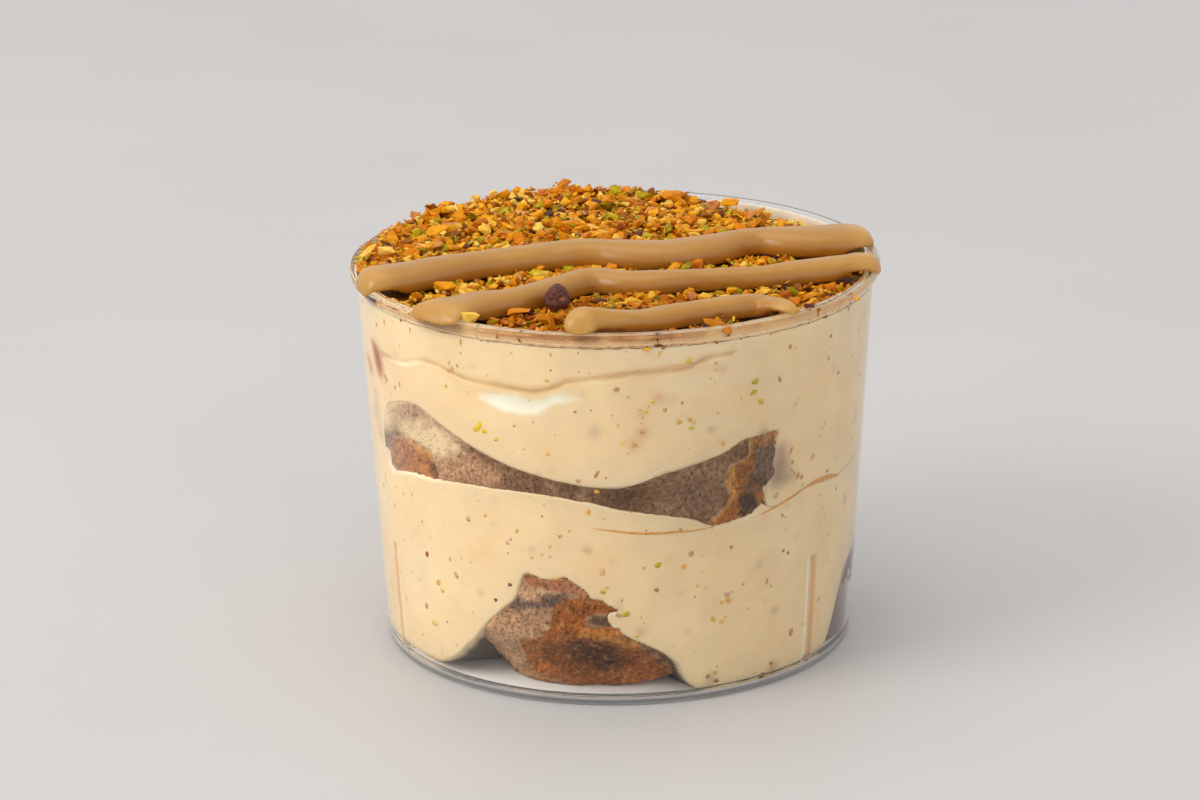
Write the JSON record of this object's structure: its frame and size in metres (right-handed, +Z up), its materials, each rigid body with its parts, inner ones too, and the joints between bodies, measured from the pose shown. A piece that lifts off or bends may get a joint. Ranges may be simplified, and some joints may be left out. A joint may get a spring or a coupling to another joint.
{
  "type": "layered coffee dessert in a clear cup",
  "caption": "Clear round dessert cup filled with layers of mascarpone cream and soaked sponge, topped with chopped nuts and piped cream lines.",
  "frame": {"origin": "on the ground under the middle of the cup, the middle of the bounding box's underside", "axes": "+Z up, -Y the shown front of the cup, +X to the right seen from the front"},
  "size_m": [0.09, 0.09, 0.069],
  "materials": {
    "clear_cup": "clear, thin, glossy plastic",
    "cream": "smooth, soft, warm ivory whipped cream with fine specks",
    "soaked_sponge": "matt, fine-pored, coffee-soaked crumb with an orange-brown crust",
    "nut_crumble": "dry, chopped nuts in golden, green, orange and dark brown",
    "piped_cream": "smooth, satin, light coffee-brown piped cream"
  },
  "bodies": {
    "root": {"cup": "clear_cup", "cream_lower": "cream", "cream_upper": "cream", "sponge_middle": "soaked_sponge", "sponge_base_front": "soaked_sponge", "sponge_base_right": "soaked_sponge", "sponge_base_back": "soaked_sponge", "nut_topping": "nut_crumble"}
  },
  "joints": []
}
